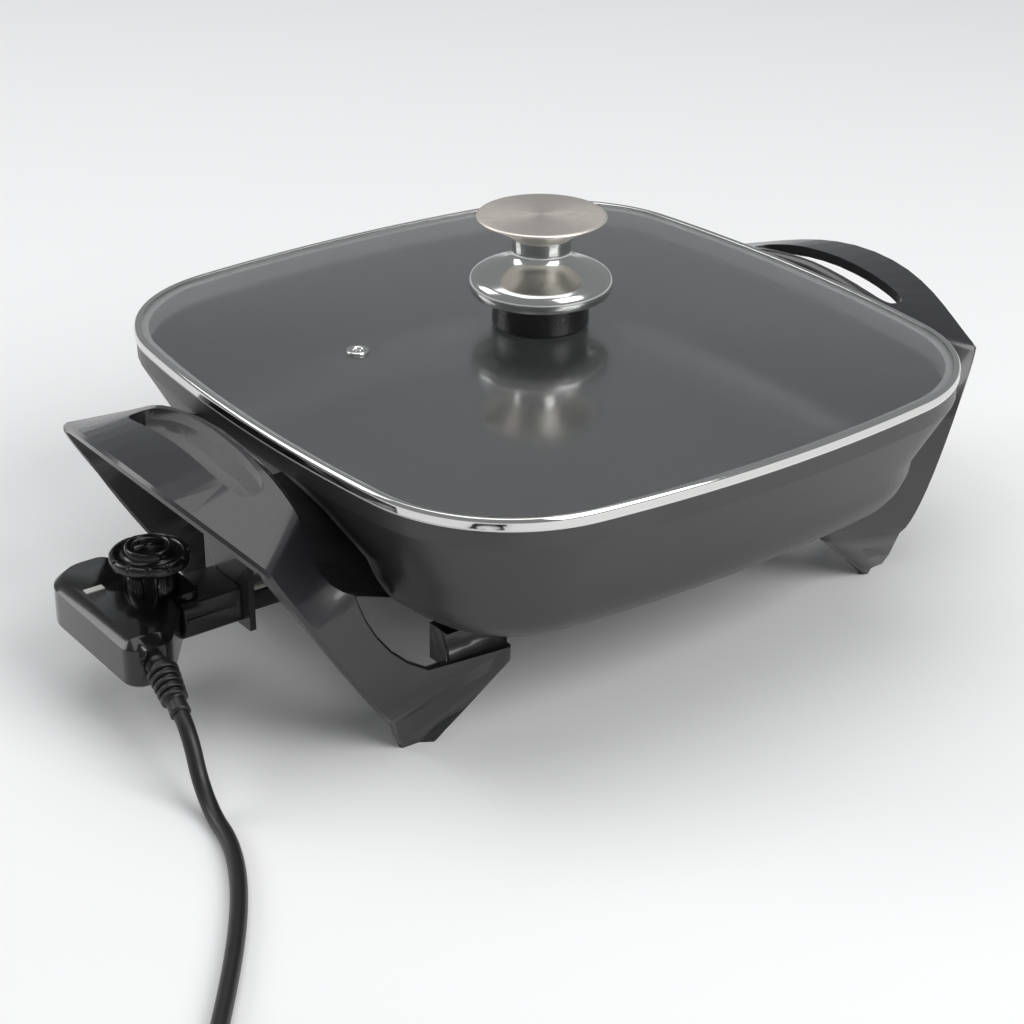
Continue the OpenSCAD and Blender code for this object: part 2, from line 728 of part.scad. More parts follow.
// Corners of the housing's plan, as [x, y, radius]
plan = [
    [-control_x + 8, -front_y + 8, 8],
    [-control_x + 15, -front_y + 8, 8],
    [-back_x - 6, -10, 6],
    [-back_x - 8, 22, 8],
    [-back_x - 13, 36, 9],
    [-control_x + 18, 27, 18]];

module control_plan(inset) {
    hull()
        for (c = plan)
            translate([c[0], c[1]])
                circle(r = c[2] - inset, $fn = 32);
}

// A slab of the plan, its edges broken by an inset over a rise at either end
module control_shell(low, high, inset, low_rise, high_rise) {
    hull() {
        translate([0, 0, low + low_rise])
            linear_extrude(high - low - low_rise - high_rise)
                control_plan(0);
        translate([0, 0, low])
            linear_extrude(high - low)
                control_plan(inset);
    }
}

screw_spots = [[-control_x + 9, -front_y + 9], [-back_x - 7.5, 22], [-control_x + 9, 32]];
boss_r = 3.4;
nose_tongue = control_wall;
nose_z = element_z;
nose_h = 2 * (element_z - control_z);
nose_edge = 1;
sleeve_r = pin_d / 2 + free_gap + 0.8;
tongue_half = lead_y + sleeve_r + 0.4;
tongue_h = nose_h - 6;
relief_root_r = 5;
relief_collar_r = 5.6;
relief_collar_t = 1.9;

// What passes through the two shells: nose tongue, cord bushing and screws
module control_cuts() {
    translate([-back_x - nose_tongue - 1, -tongue_half - seat_gap,
        nose_z - tongue_h / 2 - seat_gap])
        cube([nose_tongue + 4, 2 * (tongue_half + seat_gap), tongue_h + 2 * seat_gap]);
    translate([relief_x, -front_y - 1, split_z])
        rotate([-90, 0, 0])
            cylinder(r = relief_root_r + seat_gap, h = control_wall + 2, $fn = small_fn);
}

module control_base() color([0.07, 0.07, 0.07]) place()
    difference() {
        union() {
            difference() {
                control_shell(control_z, split_z, 1.2, 1.2, 0);
                translate([0, 0, cavity_low])
                    linear_extrude(control_h)
                        control_plan(control_wall);
            }
            for (p = screw_spots)
                translate([p[0], p[1], control_z + 1])
                    cylinder(r = boss_r, h = split_z - control_z - 1, $fn = small_fn);
        }
        control_cuts();
        for (p = screw_spots)
            translate([p[0], p[1], control_z - 1]) {
                cylinder(r = 1.7, h = control_h, $fn = small_fn);
                cylinder(r = 2.9, h = 3.4, $fn = small_fn);
            }
    }

lens_x = -control_x + 11.2;
lens_y = 15;
lens_l = 8.6;
lens_w = 3.6;

// The cover reaches over the nose as a plate that carries the dial's collar
plate_x = back_x - 10;
plate_front = -10.5;
plate_back = 17;
plate_r = 3;
module cover_plate() {
    hull()
        for (x = [-plate_x - plate_r, -back_x - 13], y = [plate_front + plate_r, plate_back - plate_r])
            translate([x, y, nose_z + nose_h / 2 + seat_gap])
                cylinder(r = plate_r, h = control_top - nose_z - nose_h / 2 - seat_gap,
                    $fn = 24);
}

module control_cover() color([0.07, 0.07, 0.07]) place()
    difference() {
        union() {
            difference() {
                union() {
                    control_shell(split_z, control_top, bevel_w, 0, bevel_h);
                    cover_plate();
                }
                translate([0, 0, split_z - 1])
                    linear_extrude(cavity_top - split_z + 1)
                        control_plan(control_wall);
            }
            for (p = screw_spots)
                translate([p[0], p[1], split_z])
                    cylinder(r = boss_r, h = cavity_top - split_z + 0.5, $fn = small_fn);
        }
        control_cuts();
        for (p = screw_spots)
            translate([p[0], p[1], split_z - 1])
                cylinder(r = 1.35, h = 6.5, $fn = small_fn);
        translate([dial_x, dial_y, split_z])
            cylinder(r = spindle_d / 2 + 0.4, h = control_h, $fn = small_fn);
        translate([lens_x - lens_l / 2 - seat_gap, lens_y - lens_w / 2 - seat_gap, split_z])
            cube([lens_l + 2 * seat_gap, lens_w + 2 * seat_gap, control_h]);
    }

module control_screws() color("silver") place()
    for (p = screw_spots)
        translate([p[0], p[1], control_z + 2.4])
            difference() {
                union() {
                    translate([0, 0, -2.2])
                        cylinder(r = 2.7, h = 2.2, $fn = small_fn);
                    cylinder(r = 1.3, h = split_z - control_z + 2.5, $fn = small_fn);
                }
                translate([-1.6, -0.3, -3])
                    cube([3.2, 0.6, 1.8]);
            }

nose_front = guard_x + free_gap;
nose_seam = 0.4;

module control_nose() color([0.07, 0.07, 0.07]) place()
    difference() {
        union() {
            hull()
                for (e = [[0, nose_edge], [nose_edge, 0]])
                    translate([-back_x, -nose_w / 2 + e[0], nose_z - nose_h / 2 + e[1]])
                        cube([back_x - nose_front, nose_w - 2 * e[0], nose_h - 2 * e[1]]);
            translate([-back_x - nose_tongue, -tongue_half, nose_z - tongue_h / 2])
                cube([nose_tongue + 1, 2 * tongue_half, tongue_h]);
        }
        for (sy = [-1, 1])
            translate([-back_x + 3, sy * nose_w / 2 - nose_seam, split_z - nose_seam])
                cube([back_x - nose_front - 6, 2 * nose_seam, 2 * nose_seam]);
        for (sy = [-1, 1])
            translate([0, sy * lead_y, nose_z])
                rod_x(sleeve_r + seat_gap, -back_x - nose_tongue - 1, -nose_front + 1);
        translate([0, 0, nose_z])
            rod_x(rod_d / 2 + seat_gap, -back_x - nose_tongue - 1, -nose_front + 1);
    }

module contact_sleeves() color("goldenrod") place()
    for (sy = [-1, 1])
        translate([-back_x - nose_tongue + 0.5, sy * lead_y, nose_z])
            rotate([0, 90, 0])
                tube(sleeve_r, pin_d / 2 + free_gap, back_x + nose_tongue - nose_front - 1);

rod_tip = -guide_seat + 3;
module sensor_rod() color("silver") place()
    translate([0, 0, nose_z]) {
        rod_x(rod_d / 2, -back_x - nose_tongue + 0.5, -rod_tip - rod_d / 2);
        translate([-rod_tip - rod_d / 2, 0, 0])
            sphere(d = rod_d, $fn = small_fn);
    }

tower_h = 7;
frame_low = cavity_low;
frame_t = 1.5;
blade_x = -control_x + 14;
blade_w = 7;
blade_l = 26;
blade_t = 0.5;
blade_y = -16;
stack_l = 7;
blade_gap = 2;
blade_low = frame_low + 5;

module thermostat_frame() color("lightsteelblue") place()
    difference() {
        union() {
            translate([0, 0, frame_low])
                linear_extrude(frame_t)
                    intersection() {
                        translate([blade_x - 5, blade_y - 2])
                            square([dial_x + tower_r - blade_x + 5,
                                dial_y + tower_r - blade_y + 7]);
                        control_plan(control_wall + 2 * seat_gap);
                    }
            translate([dial_x, dial_y, frame_low])
                cylinder(r = tower_r, h = tower_h, $fn = small_fn);
            translate([blade_x - blade_w / 2, blade_y + blade_l - stack_l, frame_low])
                cube([blade_w, stack_l, blade_low - frame_low]);
        }
        translate([dial_x, dial_y, frame_low + 2])
            cylinder(r = spindle_d / 2 + run_gap, h = control_h, $fn = small_fn);
    }

module contact_blades() color("goldenrod") place()
    for (k = [0, 1])
        translate([blade_x - blade_w / 2, blade_y, blade_low + k * (blade_gap + blade_t)]) {
            cube([blade_w, blade_l, blade_t]);
            if (k == 0)
                translate([1, blade_l - stack_l + 1, blade_t])
                    cube([blade_w - 2, stack_l - 2, blade_gap]);
        }

module contact_rivets() color("silver") place()
    for (k = [0, 1])
        translate([blade_x, blade_y + 4, blade_low + blade_t + k * blade_gap / 2])
            cylinder(r = 1.6, h = blade_gap / 2, $fn = small_fn);

lens_low = cavity_top - 1;
module indicator_lamp() color("orange") place()
    translate([lens_x, lens_y, cavity_low]) {
        cylinder(r = 2, h = 4, $fn = small_fn);
        translate([0, 0, 4])
            cylinder(r = 1.6, h = lens_low - cavity_low - 4, $fn = small_fn);
    }

module indicator_lens() color("white") place()
    translate([lens_x - lens_l / 2, lens_y - lens_w / 2, lens_low])
        cube([lens_l, lens_w, control_top + 0.5 - lens_low]);

collar_r = 10.6;
dial_z = control_top + collar_h + free_gap;
dial_r = dial_d / 2;
dial_h = 9;
pointer_l = 13;
pointer_w = 2.2;
collar_rib = 1.1;
collar_panel = 7.5;
collar_turn = -84;

module dial_collar() color([0.07, 0.07, 0.07]) place()
    translate([dial_x, dial_y, control_top])
        difference() {
            union() {
                cylinder(r = collar_r, h = collar_h, $fn = small_fn);
                intersection() {
                    for (a = [0:72:288])
                        rotate([0, 0, a + collar_turn])
                            translate([0, -collar_panel / 2, 0])
                                cube([collar_r + 3, collar_panel, collar_h - 1.2]);
                    cylinder(r = collar_r + collar_rib, h = collar_h, $fn = small_fn);
                }
            }
            translate([0, 0, -1])
                cylinder(r = spindle_d / 2 + 0.4, h = collar_h + 2, $fn = small_fn);
            translate([0, 0, -1])
                cylinder(r = collar_r - 2.5, h = collar_h - 1, $fn = small_fn);
        }

module control_dial() color([0.09, 0.09, 0.09]) place()
    translate([dial_x, dial_y, dial_z])
        difference() {
            union() {
                rotate_extrude($fn = 2 * small_fn)
                    polygon([[0, 0], [dial_r - 1.4, 0], [dial_r - 0.3, 0.7], [dial_r, 1.8],
                        [dial_r, 4.2], [dial_r - 0.9, 5.2], [dial_r - 2.6, 5.5],
                        [dial_r - 3.4, 4.6], [dial_r - 4.8, 4.6], [11, 5.4], [10.5, 7.6],
                        [9.9, 8.5], [8.9, 8.7], [8.2, 7.9], [0, 7.9]]);
                translate([-pointer_l / 2, -pointer_w / 2, 7])
                    cube([pointer_l, pointer_w, dial_h - 7]);
            }
            translate([0, 0, -1])
                cylinder(r = spindle_d / 2 + 0.02, h = dial_h - 1.5, $fn = small_fn);
            for (a = [0:30:330])
                rotate([0, 0, a])
                    translate([dial_r - 1.5, -0.6, 4])
                        cube([3, 1.2, 2]);
        }

module dial_spindle() color("silver") place()
    translate([dial_x, dial_y, frame_low + 2.3])
        cylinder(d = spindle_d, h = dial_z + dial_h - 2.7 - frame_low - 2.3,
            $fn = small_fn);

// ---- Strain relief and lead ----
relief_tilt = 24;
relief_yaw = 9;
relief_end_r = cord_d / 2 + 0.9;
relief_ribs = 5;
relief_out = -front_y - 4.4;

// Ribbed cone, as (radius, distance) points along its own axis
relief_section = concat(
    [[0, -5], [2.6, -4.6], [4.6, -2.8], [5.6, 0]],
    [for (i = [1:relief_ribs])
        let (at = i * relief_l / (relief_ribs + 2) - 2.5, r = 6.2 - 1.6 * i / (relief_ribs + 1))
        each [[r - 0.6, at], [r + 0.9, at + 0.2], [r + 0.8, at + 1.9], [r - 0.8, at + 2.1]]],
    [[relief_end_r, relief_l], [0, relief_l]]);

module strain_relief() color([0.08, 0.08, 0.08]) place() {
    translate([relief_x, relief_out, split_z])
        rotate([0, 0, -relief_yaw])
            rotate([90 + relief_tilt, 0, 0])
                rotate_extrude($fn = small_fn)
                    polygon(relief_section);
    translate([relief_x, -front_y + control_wall + 0.5 + relief_collar_t, split_z])
        rotate([90, 0, 0]) {
            cylinder(r = relief_root_r, h = control_wall + relief_collar_t + 3,
                $fn = small_fn);
            cylinder(r = relief_collar_r, h = relief_collar_t, $fn = small_fn);
        }
}

// The lead's route from the strain relief, down to the table and away to the front
floor_cord_z = cord_d / 2 + 0.05;
relief_dir = [-sin(relief_yaw) * cos(relief_tilt), -cos(relief_yaw) * cos(relief_tilt),
    -sin(relief_tilt)];
relief_tip = [relief_x, relief_out, split_z] + relief_l * relief_dir;
coil_start = [-330, -251, floor_cord_z];

// It drops in two bends of one radius, one down and one level again, and then swings
// away over the table to the coil
drop_r = 30;
drop_steps = 5;
drop_angle = acos((1 + cos(relief_tilt) - (relief_tip[2] - floor_cord_z) / drop_r) / 2);
function drop_point(from, a0, a1, t) =
    let (a = mix(a0, a1, t), turn = a1 > a0 ? 1 : -1,
        run = turn * drop_r * (sin(a) - sin(a0)), fall = turn * drop_r * (cos(a0) - cos(a)))
    from + [-sin(relief_yaw) * run, -cos(relief_yaw) * run, -fall];
drop_low = drop_point(relief_tip, relief_tilt, drop_angle, 1);
landing = drop_point(drop_low, drop_angle, 0, 1);
floor_sweep = [landing, landing + 45 * [-sin(relief_yaw), -cos(relief_yaw), 0],
    coil_start + [33, 44, 0], coil_start];
cord_route = concat([relief_tip],
    [for (i = [1:drop_steps]) drop_point(relief_tip, relief_tilt, drop_angle, i / drop_steps)],
    [for (i = [1:2 * drop_steps]) drop_point(drop_low, drop_angle, 0, i / (2 * drop_steps))],
    [for (i = [1:14]) bezier(floor_sweep, i / 14)]);

// Rings of a tube along points, each square to the route there
function route_dir(route, i) =
    unit(route[min(i + 1, len(route) - 1)] - route[max(i - 1, 0)]);
function tube_ring(centre, dir, r, sides) =
    let (side = unit(cross(dir, [0, 0, 1])), up = cross(side, dir))
    [for (k = [0:sides - 1])
        let (a = 360 * (k + 0.5) / sides)
        centre + r * (cos(a) * side - sin(a) * up)];
function tube_rings(route, r, sides, first, last) =
    [for (i = [0:len(route) - 1])
        tube_ring(route[i], i == 0 ? first : i == len(route) - 1 ? last : route_dir(route, i),
            r, sides)];
function route_length(route, i = 0) =
    i >= len(route) - 1 ? 0 : norm(route[i + 1] - route[i]) + route_length(route, i + 1);

module cord() color([0.12, 0.12, 0.12]) place()
    skin(tube_rings(cord_route, cord_d / 2, 8, relief_dir, coil_dir));

// The coil lies beside the view: it winds in on the table, climbs a layer where it
// turns, and winds out again on top of itself
coil_r = 45.5;
coil_pitch = cord_d + 0.6;
coil_layer = cord_d + 0.6;
coil_turns = 2.25;
coil_z = cord_d / 2 + 0.9;
coil_from = 143.13;
coil_dir = [-0.6, -0.8, 0];
coil_join = coil_start + cord_d * coil_dir;
coil_centre = [coil_join[0] + coil_r * 0.8, coil_join[1] - coil_r * 0.6, 0];
coil_steps = 54;
tail_l = 14;
function ease(t) = let (c = min(max(t, 0), 1)) c * c * (3 - 2 * c);
function coil_point(turned) =
    let (
        back = coil_turns * 180,
        drawn_in = turned < back ? turned : 2 * back - turned,
        r = coil_r - coil_pitch * drawn_in / 360,
        settle = ease(turned / 40),
        z = mix(floor_cord_z, coil_z, settle) + coil_layer * ease((turned - back + 90) / 180),
        a = coil_from + turned)
    [coil_centre[0] + r * cos(a), coil_centre[1] + r * sin(a), z];
coil_loops = [for (i = [0:coil_steps]) coil_point(coil_turns * 360 * i / coil_steps)];
coil_end_dir = unit(coil_loops[coil_steps] - coil_loops[coil_steps - 1]);
tail_dir = unit([coil_end_dir[0], coil_end_dir[1], 0]);
coil_route = concat([coil_start], coil_loops, [coil_loops[coil_steps] + tail_dir * tail_l / 2,
    coil_loops[coil_steps] + tail_dir * tail_l]);
coil_apart = 10;
coil_gap = min([for (i = [0:coil_steps - coil_apart], j = [i + coil_apart:coil_steps])
    norm(coil_loops[i] - coil_loops[j])]) - cord_d;

module cord_coil() color([0.12, 0.12, 0.12]) place()
    skin(tube_rings(coil_route, cord_d / 2, 6, coil_dir, tail_dir));

tie_angle = 60;
tie_w = 9;
tie_t = 0.7;
tie_r = 40.8;
tie_span = 10.2;
tie_h = 15.6;
module cord_tie() color([0.1, 0.1, 0.1]) place()
    translate([coil_centre[0], coil_centre[1], 0])
        rotate([0, 0, tie_angle])
            translate([tie_r, 0, tie_h / 2 + tie_t + 0.05])
                difference() {
                    cube([tie_span + 2 * tie_t, tie_w, tie_h + 2 * tie_t], center = true);
                    cube([tie_span, tie_w + 2, tie_h], center = true);
                }

plug_l = 27;
plug_w = 25;
plug_neck = 12;
blade_pitch = 12.7;
module at_plug() {
    tip = coil_route[len(coil_route) - 1];
    translate(tip)
        rotate([0, 0, atan2(tail_dir[1], tail_dir[0])])
            children();
}

module plug_body() color([0.1, 0.1, 0.1]) place()
    at_plug() {
        rotate([0, 90, 0])
            cylinder(r1 = cord_d / 2 + 0.8, r2 = 7, h = plug_neck + 2, $fn = small_fn);
        hull() {
            translate([plug_neck, 0, 0])
                cube([2, plug_w - 10, coil_layer + coil_z + 1], center = true);
            for (sy = [-1, 1])
                translate([plug_neck + plug_l / 2 + 4, sy * (plug_w / 2 - 4), 0])
                    rotate([0, 90, 0])
                        cylinder(r = 4, h = plug_l / 2, center = true, $fn = 24);
            translate([plug_neck + plug_l / 2 + 4, 0, 0])
                cube([plug_l / 2, plug_w - 8, 2 * (coil_layer + coil_z)], center = true);
        }
    }

module plug_blades() color("silver") place()
    at_plug()
        for (sy = [-1, 1])
            translate([plug_neck + 3 * plug_l / 4 + 4, sy * blade_pitch / 2 - 0.75, -3.2])
                cube([17, 1.5, 6.4]);

echo(free_lead = route_length(cord_route), coil_lead = route_length(coil_route));
echo(coil_gap_to_itself = coil_gap);
echo(vent_z = vent_z, floor_z = floor_z, element_z = element_z, glass_top = glass_top);
echo(dial = [dial_x + pan_x, dial_y, dial_z], relief_tip = relief_tip + [pan_x, 0, 0]);
echo(landing = landing + [pan_x, 0, 0], drop_angle = drop_angle);
echo(control_z = control_z, control_top = control_top, knob_top = knob_top);

pan();
heating_element();
terminal_pins();
pin_insulators();
sensor_guide();
socket_guard();
guard_screws();
left_handle();
right_handle();
leg_screws();
lid_glass();
lid_band();
vent_grommet();
knob_seal();
knob_base();
knob_skirt();
knob_disc();
knob_screw();
screw_washer();
control_base();
control_cover();
control_nose();
contact_sleeves();
sensor_rod();
thermostat_frame();
contact_blades();
contact_rivets();
indicator_lamp();
indicator_lens();
control_screws();
dial_collar();
control_dial();
dial_spindle();
strain_relief();
cord();
cord_coil();
cord_tie();
plug_body();
plug_blades();
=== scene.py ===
"""The looks of an electric skillet: smooth copies of its nodes, the lid, knob and lead rebuilt
finer than the CAD, procedural materials, a camera solved from the photograph and a plain stage.
Lengths are in millimetres from the pan's middle, as in the CAD; place() turns them into metres."""
import bpy
import bmesh
import json
import math
from mathutils import Matrix, Vector


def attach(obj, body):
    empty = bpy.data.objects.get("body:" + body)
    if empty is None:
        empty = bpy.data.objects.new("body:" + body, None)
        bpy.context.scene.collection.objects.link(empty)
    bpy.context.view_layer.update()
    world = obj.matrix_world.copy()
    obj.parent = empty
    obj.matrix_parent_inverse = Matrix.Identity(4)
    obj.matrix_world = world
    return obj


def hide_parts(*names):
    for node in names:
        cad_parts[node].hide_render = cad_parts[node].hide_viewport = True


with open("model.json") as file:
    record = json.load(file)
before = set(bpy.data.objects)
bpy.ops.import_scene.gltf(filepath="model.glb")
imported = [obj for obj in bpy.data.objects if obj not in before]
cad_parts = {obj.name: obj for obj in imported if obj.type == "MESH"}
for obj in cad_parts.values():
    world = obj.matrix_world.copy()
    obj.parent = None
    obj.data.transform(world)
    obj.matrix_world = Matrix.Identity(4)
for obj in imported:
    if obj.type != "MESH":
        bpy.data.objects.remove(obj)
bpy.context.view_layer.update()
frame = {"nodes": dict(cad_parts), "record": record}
NODES = frame["nodes"]
BODY = {node: body for body, nodes in frame["record"]["behaviour"]["bodies"].items()
        for node in nodes}
MM = 0.001
PAN_X = 10.0    # the pan's middle, from the frame's origin
scene = bpy.context.scene
collection = scene.collection


def place(x, y, z):
    """A point in the CAD's millimetres as metres in the frame."""
    return (x + PAN_X) * MM, y * MM, z * MM


# ---------------------------------------------------------------- sizes, as in the CAD
HALF_W, HALF_L, CORNER_R, SIDE_BOW = 160.0, 164.0, 74.0, 5.2
BEAD_Z, BAND_H, BAND_T = 124.0, 5.5, 0.9
REST_GAP = 0.05    # left between the glass and its flange, and under the lead
RIM_Z = BEAD_Z - BAND_H
FOLD_Z = RIM_Z + BAND_T    # upper side of the band's flange, which rests on the pan's rim
SKIRT_INSET, SKIRT_DROP = 6.2, 8.0
SKIRT_LOW = RIM_Z - SKIRT_DROP

GLASS_INSET, GLASS_RISE, FLAT_SHARE = 1.4, 6.4, 0.15
GLASS_T = BAND_H - 2 * BAND_T - 0.1
GLASS_EDGE = FOLD_Z + REST_GAP + GLASS_T
GLASS_TOP = GLASS_EDGE + GLASS_RISE
SCREW_R = 2.0
GLASS_HOLE_R = SCREW_R + 1.2
VENT_X, VENT_Y, VENT_R = -85, 23, 3.5

KNOB_H, SEAL_T, BASE_R, SKIRT_R, DISC_R, NECK_R = 52.2, 0.8, 22.3, 33.0, 29.5, 13.2
KNOB_TOP = GLASS_TOP + KNOB_H
BASE_Z = GLASS_TOP + SEAL_T
FLARE_Z = BASE_Z + 15.5
NECK_Z = KNOB_TOP - 14.5
DISC_Z = KNOB_TOP - 6.2
DISC_SEAT = DISC_Z - 4.2
COLUMN_R = NECK_R - 1.7
SKIRT_BORE = COLUMN_R + 0.1
BELL_WALL = 1.2

LEAD_D, RELIEF_L = 7.0, 23.0
RELIEF_ROOT = Vector((-225.5, -42.4, 43))
RELIEF_TILT, RELIEF_YAW = math.radians(24), math.radians(9)
LEAD_Z = LEAD_D / 2 + REST_GAP    # the lead's middle where it lies on the table
DROP_R = 30.0
COIL_R, COIL_TURNS, COIL_FROM = 45.5, 2.25, 143.13
COIL_PITCH = COIL_LAYER = LEAD_D + 0.6
COIL_Z = LEAD_D / 2 + 0.9
COIL_START = (-330, -251, LEAD_Z)
HEAD_X, HEAD_Y = -0.6, -0.8    # the lead's direction where its coil begins
TAIL_L = 14.0

# ---------------------------------------------------------------- camera
PICTURE = 1024          # rows and columns of the picture
SHIFT_ROWS = 2          # rows by which the view is shifted up
LENS, SENSOR = 78.73, 36
CLIP_NEAR, CLIP_FAR = 0.05, 40    # metres
VIEW_AZ, VIEW_EL, VIEW_ROLL = math.radians(-36.812), math.radians(26.796), math.radians(0.483)
VIEW_FROM = (-584.10, -760.01, 390.65)    # from the pan's middle at the height of the bead


def make_camera():
    az, el, roll = VIEW_AZ, VIEW_EL, VIEW_ROLL
    back = Vector((math.sin(az) * math.cos(el), -math.cos(az) * math.cos(el), math.sin(el)))
    level = Vector((math.cos(az), math.sin(az), 0))
    upright = back.cross(level)
    right = level * math.cos(roll) + upright * math.sin(roll)
    up = -level * math.sin(roll) + upright * math.cos(roll)
    at = place(VIEW_FROM[0], VIEW_FROM[1], VIEW_FROM[2] + BEAD_Z)
    cam = bpy.data.cameras.new("camera")
    cam.lens = LENS
    cam.sensor_width = SENSOR
    cam.clip_start = CLIP_NEAR
    cam.clip_end = CLIP_FAR
    cam.shift_y = SHIFT_ROWS / PICTURE
    ob = bpy.data.objects.new("camera", cam)
    ob.matrix_world = Matrix([(right[i], up[i], back[i], at[i]) for i in range(3)]
                             + [(0, 0, 0, 1)])
    collection.objects.link(ob)
    scene.camera = ob


make_camera()

# ---------------------------------------------------------------- materials
NOISE_LOW, NOISE_HIGH = 0.3, 0.7      # the part of a noise's range that shows
BROAD_SCALE, BROAD_DETAIL, FINE_DETAIL = 18, 3, 4
BUMP_DEPTH = 0.0002
EDGE_FROM, EDGE_TO = 0.53, 0.62       # pointiness at which an edge begins to pale, and is pale: a painted edge highlight
PALER, PALE_LIFT = 2.2, 0.02
DULL_ROUGH, DULL_METAL = 0.5, 0.1
MAT = {}


def linear(level):
    """A colour level of 0 to 255, as written, in Blender's linear light."""
    c = level / 255.0
    return c / 12.92 if c <= 0.04045 else ((c + 0.055) / 1.055) ** 2.4


def hex_colour(digits):
    return [linear(int(digits[i:i + 2], 16)) for i in (0, 2, 4)]


def noise(tree, vector, scale, detail):
    node = tree.nodes.new("ShaderNodeTexNoise")
    node.inputs["Scale"].default_value = scale
    node.inputs["Detail"].default_value = detail
    tree.links.new(vector, node.inputs["Vector"])
    return node.outputs["Fac"]


def map_range(tree, value, low, high, to_low, to_high):
    node = tree.nodes.new("ShaderNodeMapRange")
    node.inputs["From Min"].default_value = low
    node.inputs["From Max"].default_value = high
    node.inputs["To Min"].default_value = to_low
    node.inputs["To Max"].default_value = to_high
    tree.links.new(value, node.inputs["Value"])
    return node.outputs["Result"]


def mottled(tree, fac, base, tint):
    """The base colour, a little darker and lighter by the share of its tint."""
    ramp = tree.nodes.new("ShaderNodeValToRGB")
    stops = ((NOISE_LOW, 1 - tint), (NOISE_HIGH, 1 + tint))
    for element, (at, share) in zip(ramp.color_ramp.elements, stops):
        element.position = at
        element.color = (*(base * share), 1)
    tree.links.new(fac, ramp.inputs["Fac"])
    return ramp.outputs["Color"]


def paint_edge_highlight(tree, colour, base, edge_highlight):
    """The colour, paler along the edges of a piece: a painted highlight along them."""
    geo = tree.nodes.new("ShaderNodeNewGeometry")
    edge = map_range(tree, geo.outputs["Pointiness"], EDGE_FROM, EDGE_TO, 0, edge_highlight)
    mix = tree.nodes.new("ShaderNodeMix")
    mix.data_type = "RGBA"
    mix.inputs["B"].default_value = (*(base * PALER + Vector([PALE_LIFT] * 3)), 1)
    tree.links.new(edge, mix.inputs["Factor"])
    tree.links.new(colour, mix.inputs["A"])
    return mix.outputs["Result"]


def material(slot, base, rough, metal=0.0, tint=0.06, grain=600.0, bump=0.02, rough_var=0.05,
             stretch=(1, 1, 1), edge_highlight=0.0, **more):
    """A procedural surface: mottled colour, varied roughness and fine bump. What more it is
    given are inputs of the shader by name, with a _ for each space."""
    m = MAT[slot] = bpy.data.materials.new(slot + "_mat")
    m.use_nodes = True
    tree = m.node_tree
    base = Vector(base)
    surface = tree.nodes["Principled BSDF"]
    surface.inputs["Metallic"].default_value = metal
    for name, value in more.items():
        surface.inputs[name.replace("_", " ")].default_value = value
    tex = tree.nodes.new("ShaderNodeTexCoord")
    mapping = tree.nodes.new("ShaderNodeMapping")
    mapping.inputs["Scale"].default_value = stretch
    tree.links.new(tex.outputs["Object"], mapping.inputs["Vector"])
    fine = noise(tree, mapping.outputs["Vector"], grain, FINE_DETAIL)
    broad = noise(tree, tex.outputs["Object"], BROAD_SCALE, BROAD_DETAIL)
    colour = mottled(tree, broad, base, tint)
    # edges painted paler: a painted highlight, not a colour the piece has
    if edge_highlight:
        colour = paint_edge_highlight(tree, colour, base, edge_highlight)
    tree.links.new(colour, surface.inputs["Base Color"])
    varied = map_range(tree, fine, NOISE_LOW, NOISE_HIGH, rough - rough_var, rough + rough_var)
    tree.links.new(varied, surface.inputs["Roughness"])
    if bump:
        relief = tree.nodes.new("ShaderNodeBump")
        relief.inputs["Strength"].default_value = bump
        relief.inputs["Distance"].default_value = BUMP_DEPTH
        tree.links.new(fine, relief.inputs["Height"])
        tree.links.new(relief.outputs["Normal"], surface.inputs["Normal"])


def dull_inside(m):
    """Dulls what lies below the fold of the resting band, its flange and skirt. The height is
    the scene's, so on a lifted lid the band is polished all over."""
    tree = m.node_tree
    surface = tree.nodes["Principled BSDF"]
    polished = surface.inputs["Roughness"].links[0].from_socket
    split = tree.nodes.new("ShaderNodeSeparateXYZ")
    geo = tree.nodes.new("ShaderNodeNewGeometry")
    tree.links.new(geo.outputs["Position"], split.inputs["Vector"])
    below = tree.nodes.new("ShaderNodeMath")
    below.operation = "LESS_THAN"
    below.inputs[1].default_value = (FOLD_Z + 0.1) * MM
    tree.links.new(split.outputs["Z"], below.inputs[0])
    for name, value in (("Roughness", DULL_ROUGH), ("Metallic", DULL_METAL)):
        mix = tree.nodes.new("ShaderNodeMix")
        mix.inputs["A"].default_value = surface.inputs[name].default_value
        mix.inputs["B"].default_value = value
        tree.links.new(below.outputs["Value"], mix.inputs["Factor"])
        if name == "Roughness":
            tree.links.new(polished, mix.inputs["A"])
        tree.links.new(mix.outputs["Result"], surface.inputs[name])


# The edge paling set on some materials below is a painted highlight along their edges.
material("pan_coating", hex_colour("333334"), 0.40, tint=0.08, grain=1500, bump=0.12, edge_highlight=0.25,
         Coat_Weight=0.1, Coat_Roughness=0.2)
material("element_sheath", hex_colour("6a655f"), 0.42, metal=0.9, tint=0.2, grain=500, bump=0.05)
material("plated_pins", hex_colour("c9c9c6"), 0.2, metal=1, grain=900)
material("ceramic", hex_colour("e4e0d6"), 0.3, tint=0.04, grain=500, bump=0.03)
material("black_moulding", hex_colour("18181a"), 0.33, tint=0.1, grain=1200, bump=0.06, edge_highlight=0.35,
         Coat_Weight=0.4, Coat_Roughness=0.08)
material("screw_steel", hex_colour("b4b4b2"), 0.32, metal=1, grain=900, bump=0.04)
material("lid_glass", (0.88, 0.895, 0.895), 0.09, tint=0.01, grain=40, bump=0, rough_var=0.01,
         Coat_Weight=1, Coat_Roughness=0.34, Transmission_Weight=1, IOR=1.5)
